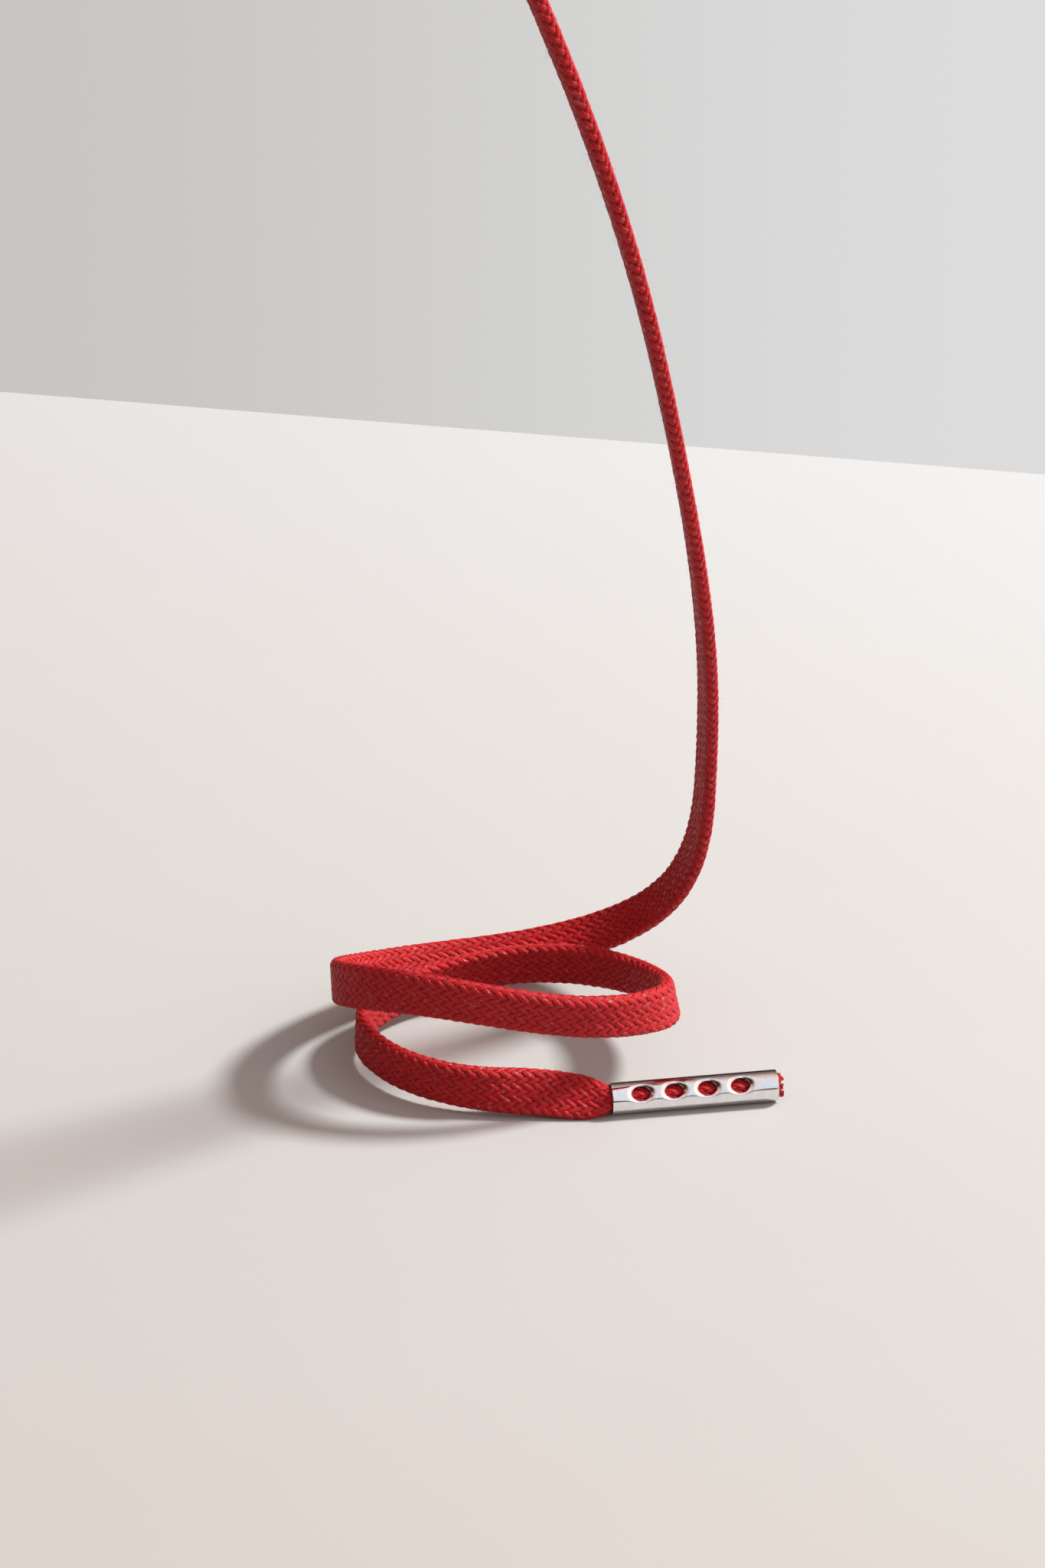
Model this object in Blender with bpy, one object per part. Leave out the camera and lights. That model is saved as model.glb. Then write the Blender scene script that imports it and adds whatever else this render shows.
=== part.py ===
"""A flat braided shoelace with a crimped metal aglet on each end, hung over a peg, its lower end curled up.

Metres, +Z up. The origin is the point where the lace lies on top of the peg that it hangs from.
"""

import math

import bmesh
import bpy
import numpy as np

# The lace
LACE_LENGTH = 0.550  # from the tip of one aglet to the tip of the other
LACE_WIDTH = 0.0062
LACE_THICKNESS = 0.0019
SQUARENESS = 2.6  # of its cross-section: 2 is an ellipse, more is boxier
FLATTENS_OVER = 0.0050  # from round at an aglet's mouth to flat
ENDS_PAST_TIP = 0.0008  # the cut end stands out of the aglet's tip
SECTION_SIDES = 14
RING_STEP = 0.0025
PATH_POINTS = 2000  # that its smooth middle line is read at
AHEAD_STEP = 0.0002  # either way along it, to find its direction

# The aglets
AGLET_LENGTH = 0.022
AGLET_RADIUS = 0.0021
AGLET_WALL = 0.0003
SEAM_ANGLE = math.radians(5)  # the slit where the rolled sheet meets itself
WINDOW_COUNT = 4
WINDOW_PITCH = 0.0044
WINDOW_MARGIN = 0.0038  # from the mouth to the middle of the first window
WINDOW_HALF_LENGTH = 0.0013
WINDOW_HALF_WIDTH = 0.00115
DISH_RADIUS = 0.0020  # round each window the sheet is pressed in
DISH_DEPTH = 0.00045
DISH_FLOOR = 0.45  # the share of a dish's radius that is at its full depth
PUNCH_STOPS = 0.35 * AGLET_RADIUS  # the end of a punch, from the aglet's middle line
AGLET_SIDES = 22
WINDOW_RINGS = 25  # of the sheet's points, along the line of windows
FIRST_RING = 0.0009  # past the mouth, before the windows
LAST_RING = 0.0199  # past the mouth, after them

GAP = 0.0003  # between pieces that touch on the real lace
SHARP_ANGLE = math.radians(40)  # an edge that turns more than this isn't shaded smooth

# The peg that holds it, and the lower aglet, both measured from the table
PEG_RADIUS = 0.0040
PEG = (-0.0465, -0.0390, 0.2350)
AGLET_HEADING = math.radians(9)
WINDOWS_LEAN = math.radians(48)  # of the lower aglet's windows, from straight up towards -Y
MOUTH = (0.0115, -0.0010, 0.0021)

# The middle of the lace from the lower aglet's mouth up to the peg, and where its upper edge points
ROUTE = (
    (MOUTH, (0.00, 0.55, 0.85)),
    ((0.0035, -0.0010, 0.0029), (0.00, 0.55, 0.85)),
    ((-0.0050, -0.0012, 0.0037), (0.00, 0.15, 1.00)),
    ((-0.0130, 0.0011, 0.0042), (0.00, 0.00, 1.00)),
    ((-0.0190, 0.0064, 0.0044), (0.00, 0.00, 1.00)),
    ((-0.0214, 0.0131, 0.0045), (0.05, -0.05, 1.00)),
    ((-0.0190, 0.0192, 0.0046), (-0.05, -0.10, 1.00)),
    ((-0.0130, 0.0244, 0.0049), (-0.05, -0.15, 1.00)),
    ((-0.0035, 0.0273, 0.0059), (-0.10, -0.15, 1.00)),
    ((0.0065, 0.0262, 0.0070), (-0.10, -0.05, 1.00)),
    ((0.0145, 0.0210, 0.0082), (-0.30, 0.05, 1.00)),
    ((0.0187, 0.0137, 0.0100), (-0.28, 0.12, 1.00)),
    ((0.0189, 0.0061, 0.0121), (-0.12, 0.15, 1.00)),
    ((0.0136, 0.0006, 0.0137), (0.10, 0.05, 1.00)),
    ((0.0050, -0.0024, 0.0154), (0.10, -0.08, 1.00)),
    ((-0.0060, -0.0023, 0.0171), (0.00, -0.05, 1.00)),
    ((-0.0159, 0.0013, 0.0168), (-0.10, 0.10, 1.00)),
    ((-0.0226, 0.0076, 0.0142), (-0.10, 0.30, 1.00)),
    ((-0.0245, 0.0149, 0.0108), (-0.05, 0.40, 1.00)),
    ((-0.0212, 0.0233, 0.0070), (-0.10, 0.50, 1.00)),
    ((-0.0130, 0.0304, 0.0045), (-0.15, 0.65, 1.00)),
    ((-0.0020, 0.0335, 0.0045), (-0.20, 0.95, 1.00)),
    ((0.0106, 0.0333, 0.0081), (-0.25, 1.50, 1.00)),
    ((0.0194, 0.0294, 0.0159), (-0.22, 1.00, 0.33)),
    ((0.0233, 0.0253, 0.0264), (-0.22, 1.00, 0.16)),
    ((0.0241, 0.0213, 0.0395), (-0.19, 1.00, 0.17)),
    ((0.0237, 0.0154, 0.0553), (-0.19, 1.00, 0.24)),
    ((0.0219, 0.0086, 0.0727), (-0.16, 1.00, 0.28)),
    ((0.0187, 0.0007, 0.0918), (-0.13, 1.00, 0.27)),
    ((0.0145, -0.0069, 0.1120), (-0.17, 1.00, 0.21)),
    ((0.0087, -0.0139, 0.1329), (-0.21, 1.00, 0.14)),
    ((0.0010, -0.0202, 0.1543), (-0.22, 1.00, 0.05)),
    ((-0.0081, -0.0259, 0.1754), (-0.15, 1.00, 0.02)),
    ((-0.0185, -0.0312, 0.1959), (-0.08, 1.00, 0.00)),
    ((-0.0292, -0.0358, 0.2157), (-0.03, 1.00, 0.00)),
)

# Over the peg: the angles of the route's points round it, from the +X side over the top
OVER_PEG = [math.radians(angle) for angle in (30, 60, 90, 120, 150, 180)]

# Below the peg, where the lace hangs straight down: shares of the way to the upper aglet's mouth
HANGING = (0.25, 0.6, 1)
HANGING_TURN = 0.12  # how far its edge has turned from +Y by that mouth, as a slope towards +X
FIRST_TAIL = 0.05  # a first guess at that way's length
TAIL_TRIES = 4

# Where the lace is divided into nodes: each ends this far along it from the lower aglet's mouth
STRETCHES = (
    ("lace_lower_loop", 0.080),
    ("lace_upper_loop", 0.160),
    ("lace_back_strand", 0.215),
    ("lace_rise", 0.345),
    ("lace_up_to_peg", 0.420),
    ("lace_hanging_end", None),
)


def clear_scene():
    for obj in list(bpy.data.objects):
        bpy.data.objects.remove(obj)


def material(name, color, roughness, metallic):
    made = bpy.data.materials.new(name)
    made.use_nodes = True
    shader = made.node_tree.nodes["Principled BSDF"]
    shader.inputs["Base Color"].default_value = (*color, 1)
    shader.inputs["Roughness"].default_value = roughness
    shader.inputs["Metallic"].default_value = metallic
    return made


def unit(rows):
    return rows / np.linalg.norm(rows, axis=-1, keepdims=True)


def smooth_step(t):
    t = np.clip(t, 0, 1)
    return t * t * (3 - 2 * t)


def cubic_spline(values, at, wanted, first_slope, last_slope):
    """The smooth curve through values, which stand at the lengths in at, read at the lengths in wanted."""
    last = len(at) - 1
    gap = np.diff(at)
    slope = np.diff(values, axis=0) / gap[:, None]
    weights = np.zeros((last + 1, last + 1))
    right = np.zeros_like(values)
    weights[0, :2] = 2 * gap[0], gap[0]
    weights[last, -2:] = gap[-1], 2 * gap[-1]
    right[0] = 6 * (slope[0] - first_slope)
    right[last] = 6 * (last_slope - slope[-1])
    for i in range(1, last):
        weights[i, i - 1 : i + 2] = gap[i - 1], 2 * (gap[i - 1] + gap[i]), gap[i]
        right[i] = 6 * (slope[i] - slope[i - 1])
    bend = np.linalg.solve(weights, right)
    k = np.clip(np.searchsorted(at, wanted) - 1, 0, last - 1)
    t = ((wanted - at[k]) / gap[k])[:, None]
    curve = ((1 - t) ** 3 - (1 - t)) * bend[k] + (t**3 - t) * bend[k + 1]
    return (1 - t) * values[k] + t * values[k + 1] + curve * gap[k, None] ** 2 / 6


def route_points(tail):
    """The route's points with those over the peg, and the mouth of the upper aglet, tail below the peg."""
    places = [place for place, _ in ROUTE]
    edges = [edge for _, edge in ROUTE]
    radius = PEG_RADIUS + LACE_THICKNESS / 2
    for angle in OVER_PEG:
        x, y, z = PEG
        places.append((x + radius * math.cos(angle), y, z + radius * math.sin(angle)))
        edges.append((0.0, 1.0, 0.0))
    side = PEG[0] - radius
    for share in HANGING:
        places.append((side, PEG[1], PEG[2] - share * tail))
        edges.append((HANGING_TURN * share, 1.0, 0.0))
    return np.array(places), unit(np.array(edges))


def lace_path():
    """Points along the lace's middle from mouth to mouth, the way its edge points at each, and their lengths."""
    lace_between = LACE_LENGTH - 2 * AGLET_LENGTH
    away = np.array([-math.cos(AGLET_HEADING), -math.sin(AGLET_HEADING), 0.0])
    tail = FIRST_TAIL
    for _ in range(TAIL_TRIES):
        places, edges = route_points(tail)
        at = np.append(0, np.linalg.norm(np.diff(places, axis=0), axis=1).cumsum())
        fine = np.linspace(0, at[-1], PATH_POINTS)
        points = cubic_spline(places, at, fine, away, np.array([0.0, 0.0, -1.0]))
        along = np.append(0, np.linalg.norm(np.diff(points, axis=0), axis=1).cumsum())
        tail += lace_between - along[-1]
    edge = cubic_spline(edges, at, fine, np.zeros(3), np.zeros(3))
    ahead = unit(np.gradient(points, axis=0))
    edge = unit(edge - (edge * ahead).sum(1)[:, None] * ahead)
    return points - hang_point(), edge, along


def hang_point():
    return np.array(PEG) + (0, 0, PEG_RADIUS)


def read_along(path, length):
    """The place, direction and edge direction at a length along the path."""
    points, edge, along = path
    place = np.array([np.interp(length, along, points[:, i]) for i in range(3)])
    before, after = (
        np.array([np.interp(length + step, along, points[:, i]) for i in range(3)])
        for step in (-AHEAD_STEP, AHEAD_STEP)
    )
    ahead = unit(after - before)
    side = np.array([np.interp(length, along, edge[:, i]) for i in range(3)])
    return place, ahead, unit(side - side.dot(ahead) * ahead)


def section(width, thickness, squareness):
    """Points round a flat cross-section, as shares of its edge and face directions."""
    turn = np.linspace(0, 2 * math.pi, SECTION_SIDES, endpoint=False)
    power = 2 / squareness
    across = np.sign(np.cos(turn)) * np.abs(np.cos(turn)) ** power * width / 2
    through = np.sign(np.sin(turn)) * np.abs(np.sin(turn)) ** power * thickness / 2
    return across, through


def loft(name, rings, finish):
    """One closed body skinned over rings of points, all with the same count."""
    mesh = bmesh.new()
    loops = [[mesh.verts.new(point) for point in ring] for ring in rings]
    count = len(loops[0])
    for near, far in zip(loops, loops[1:]):
        for i in range(count):
            j = (i + 1) % count
            mesh.faces.new((near[i], near[j], far[j], far[i]))
    mesh.faces.new(loops[0][::-1])
    mesh.faces.new(loops[-1])
    bmesh.ops.recalc_face_normals(mesh, faces=mesh.faces)
    return finished(name, mesh, finish)


def finished(name, mesh, finish):
    """The mesh as a new object, smooth where it is round."""
    data = bpy.data.meshes.new(name)
    mesh.to_mesh(data)
    mesh.free()
    data.materials.append(finish)
    data.shade_smooth()
    data.set_sharp_from_angle(angle=SHARP_ANGLE)
    made = bpy.data.objects.new(name, data)
    bpy.context.scene.collection.objects.link(made)
    return made


def flatness(past_mouth):
    """How flat the lace is this far past an aglet's mouth, from 0 where it is round to 1."""
    return 1 - (1 - min(past_mouth / FLATTENS_OVER, 1)) ** 2


def lace_stretch(name, path, start, end, finish):
    """A solid flat stretch of the lace, rounder where it nears an aglet's mouth."""
    whole = path[2][-1]
    rings = []
    for length in np.linspace(start, end, math.ceil((end - start) / RING_STEP) + 1):
        place, ahead, side = read_along(path, length)
        flat = flatness(min(length, whole - length))
        round_width = 2 * (AGLET_RADIUS - AGLET_WALL)
        width = round_width + flat * (LACE_WIDTH - round_width)
        thickness = round_width + flat * (LACE_THICKNESS - round_width)
        across, through = section(width, thickness, 2 + flat * (SQUARENESS - 2))
        face = np.cross(ahead, side)
        rings.append(place + np.outer(across, side) + np.outer(through, face))
    return loft(name, rings, finish)


def window_centres():
    return [WINDOW_MARGIN + i * WINDOW_PITCH for i in range(WINDOW_COUNT)]


def dish(length, angle):
    """How far the sheet is pressed in, at a length from the mouth and an angle from the line of windows."""
    arc = AGLET_RADIUS * angle
    near = min(math.hypot(length - centre, arc) for centre in window_centres())
    rise = smooth_step((near / DISH_RADIUS - DISH_FLOOR) / (1 - DISH_FLOOR))
    return DISH_DEPTH * (1 - float(rise))


def aglet_lengths():
    """Where the aglet's rings stand: its ends, and closer together round the windows."""
    first, last = window_centres()[0], window_centres()[-1]
    windows = np.linspace(first - DISH_RADIUS, last + DISH_RADIUS, WINDOW_RINGS)
    return np.concatenate([[0, FIRST_RING], windows, [LAST_RING, AGLET_LENGTH]])


def aglet_shell(name, finish):
    """The rolled sheet, lying along +X from its mouth at the origin, with the line of windows facing +Z."""
    mesh = bmesh.new()
    angles = np.linspace(-math.pi + SEAM_ANGLE / 2, math.pi - SEAM_ANGLE / 2, AGLET_SIDES)
    lengths = aglet_lengths()
    skins = []
    for wall in (0, AGLET_WALL):
        skin = []
        for length in lengths:
            radii = [AGLET_RADIUS - wall - dish(length, angle) for angle in angles]
            ring = [(length, r * math.sin(a), r * math.cos(a)) for r, a in zip(radii, angles)]
            skin.append([mesh.verts.new(point) for point in ring])
        skins.append(skin)
    outer, inner = skins
    for skin in skins:
        for near, far in zip(skin, skin[1:]):
            for i in range(AGLET_SIDES - 1):
                mesh.faces.new((near[i], near[i + 1], far[i + 1], far[i]))
    for end in (0, -1):
        for i in range(AGLET_SIDES - 1):
            mesh.faces.new((outer[end][i], outer[end][i + 1], inner[end][i + 1], inner[end][i]))
    for side in (0, -1):
        for i in range(len(lengths) - 1):
            mesh.faces.new(
                (outer[i][side], outer[i + 1][side], inner[i + 1][side], inner[i][side])
            )
    bmesh.ops.recalc_face_normals(mesh, faces=mesh.faces)
    return finished(name, mesh, finish)


def window_cutter(name):
    """Oval punches, one over each window, as one hidden object."""
    mesh = bmesh.new()
    for centre in window_centres():
        made = bmesh.ops.create_cone(
            mesh, cap_ends=True, segments=16, radius1=1, radius2=1, depth=2 * AGLET_RADIUS
        )
        bmesh.ops.scale(mesh, verts=made["verts"], vec=(WINDOW_HALF_LENGTH, WINDOW_HALF_WIDTH, 1))
        bmesh.ops.translate(mesh, verts=made["verts"], vec=(centre, 0, PUNCH_STOPS + AGLET_RADIUS))
    data = bpy.data.meshes.new(name)
    mesh.to_mesh(data)
    mesh.free()
    cutter = bpy.data.objects.new(name, data)
    bpy.context.scene.collection.objects.link(cutter)
    cutter.hide_render = True
    cutter.display_type = "WIRE"
    return cutter


def lace_tip(name, finish):
    """The end of the lace inside its aglet, pressed in by the dishes, and its cut end outside."""
    lengths = np.append(aglet_lengths(), AGLET_LENGTH + ENDS_PAST_TIP)
    lengths[0] = GAP / 2
    angles = np.linspace(0, 2 * math.pi, SECTION_SIDES, endpoint=False)
    clear = AGLET_RADIUS - AGLET_WALL - GAP
    rings = []
    for length in lengths:
        ring = []
        for angle in angles:
            from_windows = min(angle, 2 * math.pi - angle)
            radius = clear - dish(length, from_windows)
            ring.append((length, radius * math.sin(angle), radius * math.cos(angle)))
        rings.append(ring)
    return loft(name, rings, finish)


def aglet_end(letter, mouth, rotation, metal, cotton):
    """An aglet with the lace's end in it, placed with its mouth at a point."""
    holder = bpy.data.objects.new("end_" + letter, None)
    bpy.context.scene.collection.objects.link(holder)
    holder.location = mouth
    holder.rotation_euler = rotation
    shell = aglet_shell("aglet_" + letter, metal)
    cutter = window_cutter("window_punch_" + letter)
    punch = shell.modifiers.new("windows", "BOOLEAN")
    punch.object = cutter
    punch.operation = "DIFFERENCE"
    for piece in (shell, cutter, lace_tip("lace_tip_" + letter, cotton)):
        piece.parent = holder


def main():
    clear_scene()
    cotton = material("waxed_cotton", (0.42, 0.02, 0.03), 0.55, 0.0)
    metal = material("polished_nickel", (0.80, 0.80, 0.80), 0.18, 1.0)
    path = lace_path()
    whole = path[2][-1]
    start = GAP / 2
    for name, end in STRETCHES:
        end = whole - GAP / 2 if end is None else end
        lace_stretch(name, path, start, end, cotton)
        start = end + GAP
    lower_mouth = np.array(MOUTH) - hang_point()
    aglet_end("a", lower_mouth, (WINDOWS_LEAN, 0, AGLET_HEADING), metal, cotton)
    upper_mouth = read_along(path, whole)[0]
    aglet_end("b", upper_mouth, (0, math.radians(90), 0), metal, cotton)


main()
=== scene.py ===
"""The looks of a flat braided shoelace: every yarn of its braid, the two punched aglets and loose fibres."""

import math

import bmesh
import bpy
import numpy as np
from mathutils import Euler, Matrix, Vector

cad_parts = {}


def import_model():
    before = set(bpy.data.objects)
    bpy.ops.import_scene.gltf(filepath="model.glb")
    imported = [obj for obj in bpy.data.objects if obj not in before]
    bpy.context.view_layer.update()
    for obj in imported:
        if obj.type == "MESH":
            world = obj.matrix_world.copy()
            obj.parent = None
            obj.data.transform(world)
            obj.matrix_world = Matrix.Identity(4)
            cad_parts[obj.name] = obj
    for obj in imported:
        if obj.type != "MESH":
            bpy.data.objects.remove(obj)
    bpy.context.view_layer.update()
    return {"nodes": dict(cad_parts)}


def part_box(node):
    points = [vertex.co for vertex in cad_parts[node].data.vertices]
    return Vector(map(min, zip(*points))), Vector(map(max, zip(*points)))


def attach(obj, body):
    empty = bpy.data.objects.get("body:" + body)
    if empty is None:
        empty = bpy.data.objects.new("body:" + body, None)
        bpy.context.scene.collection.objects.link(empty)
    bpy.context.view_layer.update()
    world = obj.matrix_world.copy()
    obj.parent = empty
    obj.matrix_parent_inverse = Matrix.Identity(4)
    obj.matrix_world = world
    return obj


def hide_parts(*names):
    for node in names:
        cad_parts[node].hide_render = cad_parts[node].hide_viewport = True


# The lace, the same as in the CAD model
LACE_LENGTH = 0.550  # from the tip of one aglet to the tip of the other
LACE_WIDTH = 0.0062
LACE_THICKNESS = 0.0019
FLATTENS_OVER = 0.0050  # from round at an aglet's mouth to flat
ENDS_PAST_TIP = 0.0008  # the cut end stands out of the aglet's tip

# The aglets, the same as in the CAD model
AGLET_LENGTH = 0.022
AGLET_RADIUS = 0.0021
AGLET_WALL = 0.0003
SEAM_ANGLE = math.radians(5)  # the slit where the rolled sheet meets itself
WINDOW_COUNT = 4
WINDOW_PITCH = 0.0044
WINDOW_MARGIN = 0.0038  # from the mouth to the middle of the first window
WINDOW_HALF_LENGTH = 0.0013
WINDOW_HALF_WIDTH = 0.00115

# Where it lies, measured from the table, the same as in the CAD model
PEG_RADIUS = 0.0040
PEG = (-0.0465, -0.0390, 0.2350)
HANG_POINT = np.array(PEG) + (0, 0, PEG_RADIUS)
AGLET_HEADING = math.radians(9)
WINDOWS_LEAN = math.radians(48)  # of the lower aglet's windows, from straight up towards -Y
MOUTH = (0.0115, -0.0010, 0.0021)
# The middle of the lace from the lower aglet's mouth up to the peg, and where its upper edge points
ROUTE = (
    (MOUTH, (0.00, 0.55, 0.85)),
    ((0.0035, -0.0010, 0.0029), (0.00, 0.55, 0.85)),
    ((-0.0050, -0.0012, 0.0037), (0.00, 0.15, 1.00)),
    ((-0.0130, 0.0011, 0.0042), (0.00, 0.00, 1.00)),
    ((-0.0190, 0.0064, 0.0044), (0.00, 0.00, 1.00)),
    ((-0.0214, 0.0131, 0.0045), (0.05, -0.05, 1.00)),
    ((-0.0190, 0.0192, 0.0046), (-0.05, -0.10, 1.00)),
    ((-0.0130, 0.0244, 0.0049), (-0.05, -0.15, 1.00)),
    ((-0.0035, 0.0273, 0.0059), (-0.10, -0.15, 1.00)),
    ((0.0065, 0.0262, 0.0070), (-0.10, -0.05, 1.00)),
    ((0.0145, 0.0210, 0.0082), (-0.30, 0.05, 1.00)),
    ((0.0187, 0.0137, 0.0100), (-0.28, 0.12, 1.00)),
    ((0.0189, 0.0061, 0.0121), (-0.12, 0.15, 1.00)),
    ((0.0136, 0.0006, 0.0137), (0.10, 0.05, 1.00)),
    ((0.0050, -0.0024, 0.0154), (0.10, -0.08, 1.00)),
    ((-0.0060, -0.0023, 0.0171), (0.00, -0.05, 1.00)),
    ((-0.0159, 0.0013, 0.0168), (-0.10, 0.10, 1.00)),
    ((-0.0226, 0.0076, 0.0142), (-0.10, 0.30, 1.00)),
    ((-0.0245, 0.0149, 0.0108), (-0.05, 0.40, 1.00)),
    ((-0.0212, 0.0233, 0.0070), (-0.10, 0.50, 1.00)),
    ((-0.0130, 0.0304, 0.0045), (-0.15, 0.65, 1.00)),
    ((-0.0020, 0.0335, 0.0045), (-0.20, 0.95, 1.00)),
    ((0.0106, 0.0333, 0.0081), (-0.25, 1.50, 1.00)),
    ((0.0194, 0.0294, 0.0159), (-0.22, 1.00, 0.33)),
    ((0.0233, 0.0253, 0.0264), (-0.22, 1.00, 0.16)),
    ((0.0241, 0.0213, 0.0395), (-0.19, 1.00, 0.17)),
    ((0.0237, 0.0154, 0.0553), (-0.19, 1.00, 0.24)),
    ((0.0219, 0.0086, 0.0727), (-0.16, 1.00, 0.28)),
    ((0.0187, 0.0007, 0.0918), (-0.13, 1.00, 0.27)),
    ((0.0145, -0.0069, 0.1120), (-0.17, 1.00, 0.21)),
    ((0.0087, -0.0139, 0.1329), (-0.21, 1.00, 0.14)),
    ((0.0010, -0.0202, 0.1543), (-0.22, 1.00, 0.05)),
    ((-0.0081, -0.0259, 0.1754), (-0.15, 1.00, 0.02)),
    ((-0.0185, -0.0312, 0.1959), (-0.08, 1.00, 0.00)),
    ((-0.0292, -0.0358, 0.2157), (-0.03, 1.00, 0.00)),
)
# Over the peg: the angles of the route's points round it, from the +X side over the top
OVER_PEG = [math.radians(angle) for angle in (30, 60, 90, 120, 150, 180)]
# Below the peg, where the lace hangs straight down: shares of the way to the upper aglet's mouth
HANGING = (0.25, 0.6, 1)
HANGING_TURN = 0.12  # how far its edge has turned from +Y by that mouth, as a slope towards +X
FIRST_TAIL = 0.05  # a first guess at that way's length
TAIL_TRIES = 4
PATH_POINTS = 4000
AHEAD_STEP = 2e-4  # either way along the lace, to find its direction

# The braid: as many yarns run one way round the lace as the other, each over two and under two
YARNS_EACH_WAY = 16
TURN_LENGTH = 0.0232  # of lace in which a yarn goes once round
YARN_HALF_WIDTH = 0.00040
YARN_HALF_THICKNESS = 0.00023
CROSSING_LIFT = 0.00009  # of a yarn, out where it passes over and in where it passes under
YARN_STEP = 0.00033  # along the lace, between a yarn's rings
YARN_SIDES = 7
SQUEEZED_RADIUS = 0.00135  # of the middle of the braid inside an aglet
YARNS_PER_PIECE = 8
CROSSING_SHARPNESS = 1.7  # how quickly a yarn goes from over to under
MOST_FRAYED = 0.0009  # a yarn's cut end may be this much shorter
PRESSED_PAST_MOUTH = 0.0005  # how far outside an aglet its windows may still press a yarn
WINDOW_PRESS = 0.00042  # of the yarns under a window's rim
WINDOW_BULGE = 0.00022  # of the yarns back out in the middle of a window
CORE_RINGS = 420
CORE_SIDES = 12

# The loose fibres
FIBRES = 3600
FIBRE_RADIUS = 0.000013
FIBRE_STEPS = 5
FIBRE_SIDES = 3
SHORTEST_FIBRE = 0.00025
USUAL_FIBRE_PAST = 0.00028  # how much longer than that a fibre is on average
MOST_FIBRE_PAST = 0.0014
ROOT_DEPTH = 1e-4  # under the braid's surface

# The pressed windows, in the sheet of an aglet
RIM_DEPTH = 0.00048
CONE_SLOPE = 0.00090  # rise of the sheet from a window's rim, per window radius
SAG_DEPTH = 0.00018  # of the tube's wall round the window
SAG_REACH = 1.95  # in window radii
SAG_SOFTNESS = 0.00005  # over which the cone runs into the wall
WINDOW_AROUND = 64
WINDOW_RINGS = 14
RINGS_CROWD_TO_RIM = 1.3
BACK_COLUMNS = 26
MOUTH_RINGS = (0.0, 0.0002, 0.0005, 0.001)
TIP_RINGS = 7
EDGE_ROUNDING = 0.00007

# The table top, the peg and its rod
TABLE_CORNERS = ((-1.6, -1.9, 0), (1.9, -1.9, 0), (1.9, 0, 0), (-1.6, 0, 0))
TABLE_EDGE_Y = 0.241  # of the far edge, behind the curl
TABLE_TURN = math.radians(-12.2)
PEG_CLEAR = PEG_RADIUS - 0.0001
PEG_LENGTH = 0.056
ROD_LENGTH = 0.9
ROD_RADIUS = 0.0026
ROD_EDGES = 0.0005

# Camera and light
CAMERA_FROM_MOUTH = (-0.0115, -0.4390, 0.2650)
CAMERA_DOWN = math.radians(26.53)
CAMERA_LENS = 90.0
CAMERA_SENSOR = 36.0
TO_KEY_LIGHT = (0.95, 0.22, 1.0)
KEY_AWAY = 2.0
KEY_SIZE = 0.34
KEY_POWER = 66.0
KEY_COLOR = (0.99, 1.0, 0.99)
SKY = 0.89  # brightness straight overhead
SKY_LOW = 0.03  # and near the horizon
BACK_SHARE = 0.45  # of that light which is left behind the object
KEY_SIDE_GLOW = 1.4
FRONT_STRIP = 0.9
STRIP_ACROSS = (0.988, 0.156, 0.0)  # the way that the light strip's width is measured in
STRIP_COLOR = (0.88, 0.92, 1.0, 1)
FILL_TINT = (1.05, 0.80, 0.73)
BACKDROP_LEFT = (0.575, 0.563, 0.55, 1)
BACKDROP_RIGHT = (0.72, 0.72, 0.72, 1)

RANGE_SOCKETS = ("From Min", "From Max", "To Min", "To Max")

random = np.random.default_rng(7)


def unit(rows):
    return rows / np.linalg.norm(rows, axis=-1, keepdims=True)


def smooth_step(t):
    t = np.clip(t, 0, 1)
    return t * t * (3 - 2 * t)


# ---------------------------------------------------------------- the lace's route


def cubic_spline(values, at, wanted, first_slope, last_slope):
    """The smooth curve through values, which stand at the lengths in at, read at the lengths in wanted."""
    last = len(at) - 1
    gap = np.diff(at)
    slope = np.diff(values, axis=0) / gap[:, None]
    weights = np.zeros((last + 1, last + 1))
    right = np.zeros_like(values)
    weights[0, :2] = 2 * gap[0], gap[0]
    weights[last, -2:] = gap[-1], 2 * gap[-1]
    right[0] = 6 * (slope[0] - first_slope)
    right[last] = 6 * (last_slope - slope[-1])
    for i in range(1, last):
        weights[i, i - 1 : i + 2] = gap[i - 1], 2 * (gap[i - 1] + gap[i]), gap[i]
        right[i] = 6 * (slope[i] - slope[i - 1])
    bend = np.linalg.solve(weights, right)
    k = np.clip(np.searchsorted(at, wanted) - 1, 0, last - 1)
    t = ((wanted - at[k]) / gap[k])[:, None]
    curve = ((1 - t) ** 3 - (1 - t)) * bend[k] + (t**3 - t) * bend[k + 1]
    return (1 - t) * values[k] + t * values[k + 1] + curve * gap[k, None] ** 2 / 6


def route_points(tail):
    """The route's points with those over the peg, and the mouth of the upper aglet, tail below the peg."""
    places = [place for place, _ in ROUTE]
    edges = [edge for _, edge in ROUTE]
    radius = PEG_RADIUS + LACE_THICKNESS / 2
    for angle in OVER_PEG:
        x, y, z = PEG
        places.append((x + radius * math.cos(angle), y, z + radius * math.sin(angle)))
        edges.append((0.0, 1.0, 0.0))
    side = PEG[0] - radius
    for share in HANGING:
        places.append((side, PEG[1], PEG[2] - share * tail))
        edges.append((HANGING_TURN * share, 1.0, 0.0))
    return np.array(places), unit(np.array(edges))


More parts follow.
